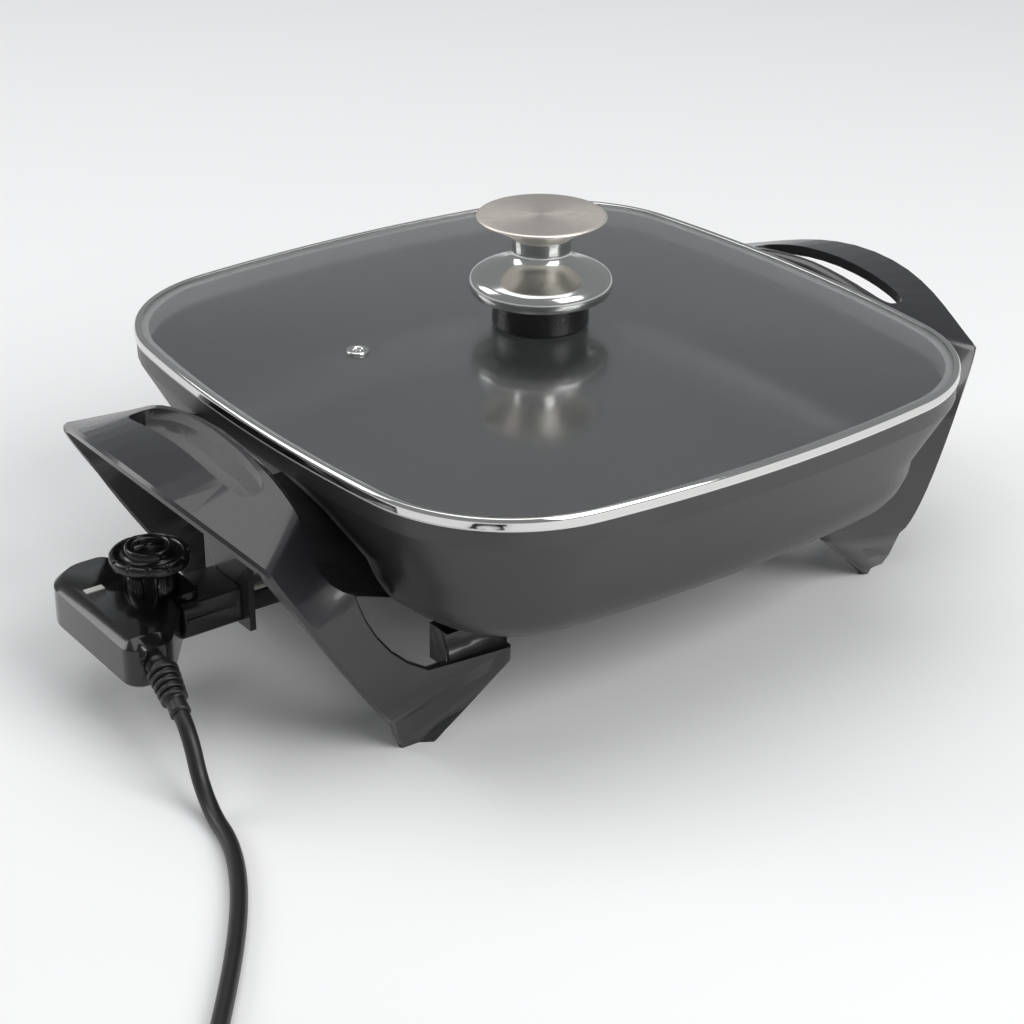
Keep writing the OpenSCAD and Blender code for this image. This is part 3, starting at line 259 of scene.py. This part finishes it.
material("polished_steel", hex_colour("d8d8d6"), 0.07, metal=1, tint=0.02, grain=300, bump=0.004,
         rough_var=0.02)
dull_inside(MAT["polished_steel"])
material("seal_rubber", hex_colour("1c1c1c"), 0.6, grain=800, bump=0.08)
material("knob_black", hex_colour("141414"), 0.3, grain=900, bump=0.05)
material("chrome_skirt", hex_colour("d2d3d0"), 0.16, metal=1, tint=0.02, grain=200, bump=0.003,
         rough_var=0.02)
material("brushed_disc", hex_colour("ece5dc"), 0.38, metal=1, tint=0.05, grain=260, bump=0.06,
         rough_var=0.08, stretch=(1, 14, 1), Anisotropic=0.4)
material("control_black", hex_colour("080808"), 0.22, tint=0.1, grain=900, bump=0.03,
         rough_var=0.04, edge_highlight=0.2, Specular_IOR_Level=0.3, Coat_Weight=0.4, Coat_Roughness=0.05)
material("nose_black", hex_colour("121212"), 0.36, grain=900, bump=0.06)
material("dial_black", hex_colour("0d0d0d"), 0.22, grain=900, bump=0.05, edge_highlight=0.3)
material("contact_brass", hex_colour("c9a35a"), 0.3, metal=1, grain=700, bump=0.03)
material("lamp_amber", hex_colour("e07a1e"), 0.3, grain=400)
material("lens_clear", hex_colour("c9c9c5"), 0.3, grain=700, bump=0.05)
material("cord_black", hex_colour("151516"), 0.42, tint=0.1, grain=1400, bump=0.1)


# ---------------------------------------------------------------- pieces
WELD, SLIVER = 2e-6, 1e-6    # metres within which corners are welded and edges dropped
ROUNDED_SHARE = 0.45         # the most of an edge that a rounded corner takes


def add(name, bm, slot, nodes, angle):
    """Turns a bmesh in metres into a piece on the body of the nodes that it replaces."""
    bmesh.ops.recalc_face_normals(bm, faces=bm.faces)
    me = bpy.data.meshes.new(name)
    bm.to_mesh(me)
    bm.free()
    me.polygons.foreach_set("use_smooth", [True] * len(me.polygons))
    me.set_sharp_from_angle(angle=math.radians(angle))
    me.materials.append(MAT[slot])
    ob = bpy.data.objects.new(name, me)
    collection.objects.link(ob)
    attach(ob, BODY[nodes[0]])
    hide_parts(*nodes)
    return ob


def refine(node, slot, angle=30):
    """A welded copy of a CAD node, shaded smooth over edges under the angle."""
    bm = bmesh.new()
    bm.from_mesh(NODES[node].data)
    bmesh.ops.remove_doubles(bm, verts=bm.verts, dist=WELD)
    bmesh.ops.dissolve_degenerate(bm, dist=SLIVER, edges=bm.edges)
    add(node + "_looks", bm, slot, (node,), angle)


def circle(steps):
    return [(math.cos(math.tau * k / steps), math.sin(math.tau * k / steps))
            for k in range(steps)]


def bezier(points, t):
    return tuple((1 - t) ** 3 * a + 3 * (1 - t) ** 2 * t * b + 3 * (1 - t) * t * t * c
                 + t ** 3 * d for a, b, c, d in zip(*points))


def rounded(points, radii, steps):
    """A closed section with its corners rounded, each by its own radius; 0 leaves it sharp."""
    out = []
    for i, (point, radius) in enumerate(zip(points, radii)):
        if radius == 0:
            out.append(point)
            continue
        corner = Vector(point)
        u = Vector(points[i - 1]) - corner
        v = Vector(points[(i + 1) % len(points)]) - corner
        reach = min(radius, u.length * ROUNDED_SHARE, v.length * ROUNDED_SHARE)
        start, end = corner + u.normalized() * reach, corner + v.normalized() * reach
        for k in range(steps + 1):
            f = k / steps
            out.append(tuple(start * (1 - f) ** 2 + corner * 2 * f * (1 - f) + end * f ** 2))
    return out


def skin(bm, rings):
    """Faces from each ring of vertices to the next; a ring of one vertex is a tip."""
    for a, b in zip(rings, rings[1:]):
        steps = max(len(a), len(b))
        for k in range(steps):
            q = (k + 1) % steps
            corners = (a[k % len(a)], a[q % len(a)], b[q % len(b)], b[k % len(b)])
            bm.faces.new(tuple(dict.fromkeys(corners)))


def closed_skin(rings):
    """A bmesh round rings of points, the last of them joined to the first."""
    bm = bmesh.new()
    loops = [[bm.verts.new(place(*p)) for p in ring] for ring in rings]
    skin(bm, loops + loops[:1])
    return bm


def lathe(section, steps):
    """A bmesh of (radius, height) points turned about the pan's middle; it is closed unless
    the section begins and ends on the axis."""
    bm = bmesh.new()
    rings = [[bm.verts.new(place(r * c, r * s, z)) for c, s in circle(steps if r else 1)]
             for r, z in section]
    skin(bm, rings if section[0][0] == 0 else rings + rings[:1])
    return bm


# ---------------------------------------------------------------- lid outline, as in the CAD
OUTLINE_STEPS = 24    # points on each of the eight arcs
CORNER_X, CORNER_Y = HALF_W - CORNER_R - SIDE_BOW, HALF_L - CORNER_R - SIDE_BOW
PIVOT_X = ((HALF_W - CORNER_R) ** 2 - CORNER_X ** 2 - CORNER_Y ** 2) / (2 * SIDE_BOW)
PIVOT_Y = ((HALF_L - CORNER_R) ** 2 - CORNER_X ** 2 - CORNER_Y ** 2) / (2 * SIDE_BOW)
SIDE_AX = math.degrees(math.atan2(CORNER_Y, CORNER_X - PIVOT_X))
SIDE_AY = math.degrees(math.atan2(CORNER_X, CORNER_Y - PIVOT_Y))
LONG_RX, LONG_RY = HALF_W - PIVOT_X, HALF_L - PIVOT_Y
ARCS = [
    (LONG_RX, PIVOT_X, 0, -SIDE_AX, SIDE_AX),
    (CORNER_R, CORNER_X, CORNER_Y, SIDE_AX, 90 - SIDE_AY),
    (LONG_RY, 0, PIVOT_Y, 90 - SIDE_AY, 90 + SIDE_AY),
    (CORNER_R, -CORNER_X, CORNER_Y, 90 + SIDE_AY, 180 - SIDE_AX),
    (LONG_RX, -PIVOT_X, 0, 180 - SIDE_AX, 180 + SIDE_AX),
    (CORNER_R, -CORNER_X, -CORNER_Y, 180 + SIDE_AX, 270 - SIDE_AY),
    (LONG_RY, 0, -PIVOT_Y, 270 - SIDE_AY, 270 + SIDE_AY),
    (CORNER_R, CORNER_X, -CORNER_Y, 270 + SIDE_AY, 360 - SIDE_AX)]


def outline(inset):
    """The lid's rounded square, four bowed sides and four corners, moved in by the inset."""
    points = []
    for r, x, y, a0, a1 in ARCS:
        for i in range(OUTLINE_STEPS):
            a = math.radians(a0 + (a1 - a0) * i / OUTLINE_STEPS)
            points.append((x + (r - inset) * math.cos(a), y + (r - inset) * math.sin(a)))
    return points


# ---------------------------------------------------------------- lid
GLASS_SHARES = (0.06, 0.1, 0.15, 0.22, 0.3, 0.4, 0.5, 0.6, 0.7, 0.8, 0.88, 0.94, 0.975, 1)
BAND_STEPS = 5
VENT_CUT_Z, VENT_CUT_H, VENT_CUT_SIDES = 127.0, 30.0, 48


def dome(share):
    """The glass's upper side, flat in the middle, at a share of the way out to its edge."""
    return GLASS_EDGE + GLASS_RISE * (
        1 - (max(share - FLAT_SHARE, 0) / (1 - FLAT_SHARE)) ** 2)


def make_band():
    """The folded steel strip: a bead over the glass's edge, a flange and a skirt under it."""
    section = rounded(
        [(0.25, RIM_Z), (0, RIM_Z + 0.7), (0, BEAD_Z - 1.3), (0.9, BEAD_Z - 0.05),
         (2.1, BEAD_Z), (2.9, BEAD_Z - 0.25), (3.2, GLASS_EDGE + 0.4),
         (1.3, GLASS_EDGE + 0.1), (1.3, FOLD_Z), (SKIRT_INSET + BAND_T, FOLD_Z),
         (SKIRT_INSET + BAND_T, SKIRT_LOW), (SKIRT_INSET, SKIRT_LOW), (SKIRT_INSET, RIM_Z)],
        (0.2, 0.3, 0.7, 0.5, 0.4, 0.3, 0.1, 0, 0, 0.5, 0.3, 0.3, 0.3), BAND_STEPS)
    bm = closed_skin([[(x, y, z) for x, y in outline(inset)] for inset, z in section])
    add("lid_band_looks", bm, "polished_steel", ("lid_band",), 50)


def glass_face(drop):
    """The dome, lowered by the drop, as rings from the screw's hole out to the edge."""
    edge = outline(GLASS_INSET)
    turns = [math.atan2(y, x) for x, y in edge]
    hole = [(GLASS_HOLE_R * math.cos(a), GLASS_HOLE_R * math.sin(a), dome(0) - drop)
            for a in turns]
    return [hole] + [[(x * s, y * s, dome(s) - drop) for x, y in edge] for s in GLASS_SHARES]


def cut_vent(ob):
    """Cuts the vent's hole through the glass."""
    bm = bmesh.new()
    bmesh.ops.create_cone(bm, cap_ends=True, segments=VENT_CUT_SIDES, radius1=VENT_R * MM,
                          radius2=VENT_R * MM, depth=VENT_CUT_H * MM,
                          matrix=Matrix.Translation(place(VENT_X, VENT_Y, VENT_CUT_Z)))
    me = bpy.data.meshes.new("vent_cut")
    bm.to_mesh(me)
    bm.free()
    cutter = bpy.data.objects.new("vent_cut", me)
    collection.objects.link(cutter)
    cut = ob.modifiers.new("vent", "BOOLEAN")
    cut.object = cutter
    cut.solver = "EXACT"
    bpy.context.view_layer.update()
    whole = ob.data
    ob.data = bpy.data.meshes.new_from_object(
        ob.evaluated_get(bpy.context.evaluated_depsgraph_get()))
    ob.modifiers.clear()
    bpy.data.meshes.remove(whole)
    bpy.data.objects.remove(cutter)


def make_glass():
    bm = closed_skin(glass_face(GLASS_T) + glass_face(0)[::-1])
    cut_vent(add("lid_glass_looks", bm, "lid_glass", ("lid_glass",), 40))


# ---------------------------------------------------------------- knob
BASE_SIDES, BRIGHT_SIDES = 96, 128
BASE_STEPS, BELL_STEPS, COLLAR_STEPS = 4, 24, 8


def make_base():
    """The black base with its column, which runs up inside the skirt."""
    bore = SCREW_R + 0.2
    section = rounded(
        [(bore, BASE_Z), (BASE_R - 0.6, BASE_Z), (BASE_R, BASE_Z + 0.8),
         (BASE_R - 0.4, FLARE_Z - 1), (BASE_R - 1.6, FLARE_Z + 1), (NECK_R - 0.2, FLARE_Z + 1.6),
         (NECK_R - 0.2, FLARE_Z + 12.5), (COLUMN_R, FLARE_Z + 14.2), (COLUMN_R, DISC_SEAT),
         (bore, DISC_SEAT)],
        (0, 0.4, 0.5, 1.2, 0.8, 0, 0, 0, 0, 0), BASE_STEPS)
    add("knob_base_looks", lathe(section, BASE_SIDES), "knob_black", ("knob_base",), 40)


def make_skirt():
    """The bright bell: concave from the neck, rolling over at its rim, hollow inside."""
    bell = [bezier([(NECK_R, NECK_Z - 2), (NECK_R + 0.4, FLARE_Z + 12.5),
                    (SKIRT_R - 6, FLARE_Z + 11.5), (SKIRT_R - 1.4, FLARE_Z + 7.4)],
                   k / BELL_STEPS) for k in range(BELL_STEPS + 1)]
    rim = [(SKIRT_R - inset, FLARE_Z + rise) for inset, rise in (
        (0.7, 6.4), (0.25, 5.3), (0, 4.1), (0.05, 2.8), (0.4, 1.5), (1.1, 0),
        (2.0, 0.3), (1.6, 2), (1.5, 3.6), (2.1, 5.5))]
    inside = [(r - 0.3, z - BELL_WALL) for r, z in bell[-4:0:-1]]
    top = [(SKIRT_BORE, DISC_SEAT), (NECK_R + 0.4, DISC_SEAT), (NECK_R + 0.25, NECK_Z)]
    section = top + bell + rim + inside + [(SKIRT_BORE, NECK_Z - 3)]
    add("knob_skirt_looks", lathe(section, BRIGHT_SIDES), "chrome_skirt", ("knob_skirt",), 40)


def make_disc():
    """The brushed disc: a flared collar, a rounded edge and a barely crowned top."""
    bore = SCREW_R + 0.05
    collar = [bezier([(NECK_R + 0.4, DISC_SEAT), (NECK_R + 1, DISC_Z - 2.6),
                      (NECK_R + 3.8, DISC_Z - 1.7), (NECK_R + 5.8, DISC_Z - 0.5)],
                     k / COLLAR_STEPS) for k in range(COLLAR_STEPS + 1)]
    edge = [(DISC_R - inset, DISC_Z + rise) for inset, rise in (
        (3, 3.9), (1.5, 4.35), (0.5, 4.65), (0.1, 5), (0, 5.3), (0.15, 5.65), (0.6, 5.95),
        (1.3, 6.05))]
    crown = [(DISC_R - 3, KNOB_TOP - 0.1), (DISC_R * 0.6, KNOB_TOP - 0.05),
             (DISC_R * 0.3, KNOB_TOP - 0.02), (0, KNOB_TOP)]
    section = ([(0, DISC_Z + 3.5), (bore, DISC_Z + 3.5), (bore, DISC_SEAT)]
               + collar + edge + crown)
    add("knob_disc_looks", lathe(section, BRIGHT_SIDES), "brushed_disc", ("knob_disc",), 60)


make_band()
make_glass()
make_base()
make_skirt()
make_disc()

# ---------------------------------------------------------------- smooth copies of nodes
refine("vent_grommet", "polished_steel", 40)
refine("knob_seal", "seal_rubber")
refine("knob_screw", "screw_steel")
refine("screw_washer", "screw_steel")
refine("pan", "pan_coating", 28)
refine("left_handle", "black_moulding", 24)
refine("right_handle", "black_moulding", 24)
for node, slot in (
        ("heating_element", "element_sheath"), ("terminal_pins", "plated_pins"),
        ("pin_insulators", "ceramic"), ("sensor_guide", "plated_pins"),
        ("socket_guard", "black_moulding"), ("guard_screws", "screw_steel"),
        ("leg_screws", "screw_steel"), ("control_base", "control_black"),
        ("control_cover", "control_black"), ("control_nose", "nose_black"),
        ("contact_sleeves", "contact_brass"), ("sensor_rod", "plated_pins"),
        ("thermostat_frame", "screw_steel"), ("contact_blades", "contact_brass"),
        ("contact_rivets", "plated_pins"), ("indicator_lamp", "lamp_amber"),
        ("indicator_lens", "lens_clear"), ("control_screws", "screw_steel"),
        ("dial_collar", "control_black"), ("control_dial", "dial_black"),
        ("dial_spindle", "screw_steel"), ("strain_relief", "cord_black"),
        ("plug_body", "cord_black"), ("plug_blades", "plated_pins"),
        ("cord_tie", "cord_black")):
    refine(node, slot)

# ---------------------------------------------------------------- lead
LEAD_SIDES = 16
DROP_STEPS, RISE_STEPS, SWEEP_STEPS, COIL_STEPS = 8, 14, 30, 108
SWEEP_OUT, SWEEP_IN = 45, 55    # how far the sweep keeps its first and its last direction
SETTLE, CLIMB = 40, 180         # degrees in which the coil settles, and climbs a layer
AWAY = Vector((-math.sin(RELIEF_YAW), -math.cos(RELIEF_YAW), 0))    # level, as the lead leaves
DOWN = Vector((0, 0, -1))
# TIP is the strain relief's end; two bends of DROP_R, one down and one back to level, take the
# lead from there to the table, and STEEPEST is the slope at which they meet
TIP = RELIEF_ROOT + RELIEF_L * (AWAY * math.cos(RELIEF_TILT) + DOWN * math.sin(RELIEF_TILT))
STEEPEST = math.acos((1 + math.cos(RELIEF_TILT) - (TIP.z - LEAD_Z) / DROP_R) / 2)
JOIN_X, JOIN_Y = COIL_START[0] + LEAD_D * HEAD_X, COIL_START[1] + LEAD_D * HEAD_Y
CENTRE_X, CENTRE_Y = JOIN_X - COIL_R * HEAD_Y, JOIN_Y + COIL_R * HEAD_X


def drop(start, a0, a1, t):
    """A point of a bend in the lead's upright plane, from slope a0 to slope a1."""
    a = a0 + (a1 - a0) * t
    turn = 1 if a1 > a0 else -1
    return (start + AWAY * turn * DROP_R * (math.sin(a) - math.sin(a0))
            + DOWN * turn * DROP_R * (math.cos(a0) - math.cos(a)))


LOW = drop(TIP, RELIEF_TILT, STEEPEST, 1)
LANDING = drop(LOW, STEEPEST, 0, 1)
SWEEP = [LANDING, LANDING + SWEEP_OUT * AWAY,
         Vector((COIL_START[0] - SWEEP_IN * HEAD_X, COIL_START[1] - SWEEP_IN * HEAD_Y, LEAD_Z)),
         Vector(COIL_START)]


def ease(t):
    t = min(max(t, 0), 1)
    return t * t * (3 - 2 * t)


def coil_point(turned):
    """A point of the coil: half its turns wind in on the table, the rest out on top."""
    back = COIL_TURNS * 180
    wound_in = turned if turned < back else 2 * back - turned
    r = COIL_R - COIL_PITCH * wound_in / 360
    z = (LEAD_Z + (COIL_Z - LEAD_Z) * ease(turned / SETTLE)
         + COIL_LAYER * ease((turned - back + CLIMB / 2) / CLIMB))
    a = math.radians(COIL_FROM + turned)
    return Vector((CENTRE_X + r * math.cos(a), CENTRE_Y + r * math.sin(a), z))


def lead_path():
    """Two bends down to the table, a sweep over it, the coil and a straight tail."""
    loops = [coil_point(COIL_TURNS * 360 * i / COIL_STEPS) for i in range(COIL_STEPS + 1)]
    ahead = loops[-1] - loops[-2]
    ahead.z = 0
    ahead.normalize()
    return ([drop(TIP, RELIEF_TILT, STEEPEST, k / DROP_STEPS) for k in range(DROP_STEPS)]
            + [drop(LOW, STEEPEST, 0, k / RISE_STEPS) for k in range(RISE_STEPS)]
            + [Vector(bezier(SWEEP, k / SWEEP_STEPS)) for k in range(SWEEP_STEPS + 1)]
            + loops + [loops[-1] + ahead * TAIL_L * share for share in (0.5, 1)])


def make_lead():
    path = [Vector(place(*q)) for q in lead_path()]
    bm = bmesh.new()
    rings = []
    for i, q in enumerate(path):
        along = (path[min(i + 1, len(path) - 1)] - path[max(i - 1, 0)]).normalized()
        side = along.cross(Vector((0, 0, 1))).normalized()
        up = side.cross(along)
        rings.append([bm.verts.new(q + LEAD_D / 2 * MM * (side * c + up * s))
                      for c, s in circle(LEAD_SIDES)])
    skin(bm, rings)
    bm.faces.new(rings[0])
    bm.faces.new(rings[-1])
    ob = add("lead", bm, "cord_black", ("cord", "cord_coil"), 60)


make_lead()

# ---------------------------------------------------------------- stage and light, in metres
FLOOR_SIDE, FLOOR_GREY, FLOOR_ROUGH = 12, 0.82, 0.9
AIM = Vector((0, 0, 0.1))
LAMPS = (("key", (0.5, -2.0, 1.6), 1.6, 45), ("top", (0.1, 0.3, 2.4), 2.2, 28),
         ("rim", (-1.4, 1.7, 1.4), 1.2, 18))    # name, place, side and power in watts
SKY, SKY_STRENGTH = (0.9, 0.92, 0.95, 1), 0.32


def make_floor():
    m = bpy.data.materials.new("floor_mat")
    m.use_nodes = True
    surface = m.node_tree.nodes["Principled BSDF"]
    surface.inputs["Base Color"].default_value = (FLOOR_GREY, FLOOR_GREY, FLOOR_GREY, 1)
    surface.inputs["Roughness"].default_value = FLOOR_ROUGH
    bm = bmesh.new()
    bmesh.ops.create_grid(bm, x_segments=1, y_segments=1, size=0.5)
    me = bpy.data.meshes.new("floor")
    bm.to_mesh(me)
    bm.free()
    me.materials.append(m)
    ob = bpy.data.objects.new("floor", me)
    ob.scale = (FLOOR_SIDE, FLOOR_SIDE, 1)
    collection.objects.link(ob)


def make_lamp(name, at, side, power):
    """A square lamp, turned to the part."""
    light = bpy.data.lights.new(name, "AREA")
    light.shape = "RECTANGLE"
    light.size = light.size_y = side
    light.energy = power
    ob = bpy.data.objects.new(name, light)
    ob.location = at
    ob.rotation_euler = (AIM - Vector(at)).to_track_quat("-Z", "Y").to_euler()
    collection.objects.link(ob)


def make_world():
    world = bpy.data.worlds.new("world")
    scene.world = world
    world.use_nodes = True
    sky = world.node_tree.nodes["Background"]
    sky.inputs["Color"].default_value = SKY
    sky.inputs["Strength"].default_value = SKY_STRENGTH


make_floor()
for lamp in LAMPS:
    make_lamp(*lamp)
make_world()
scene.view_settings.view_transform = "Standard"
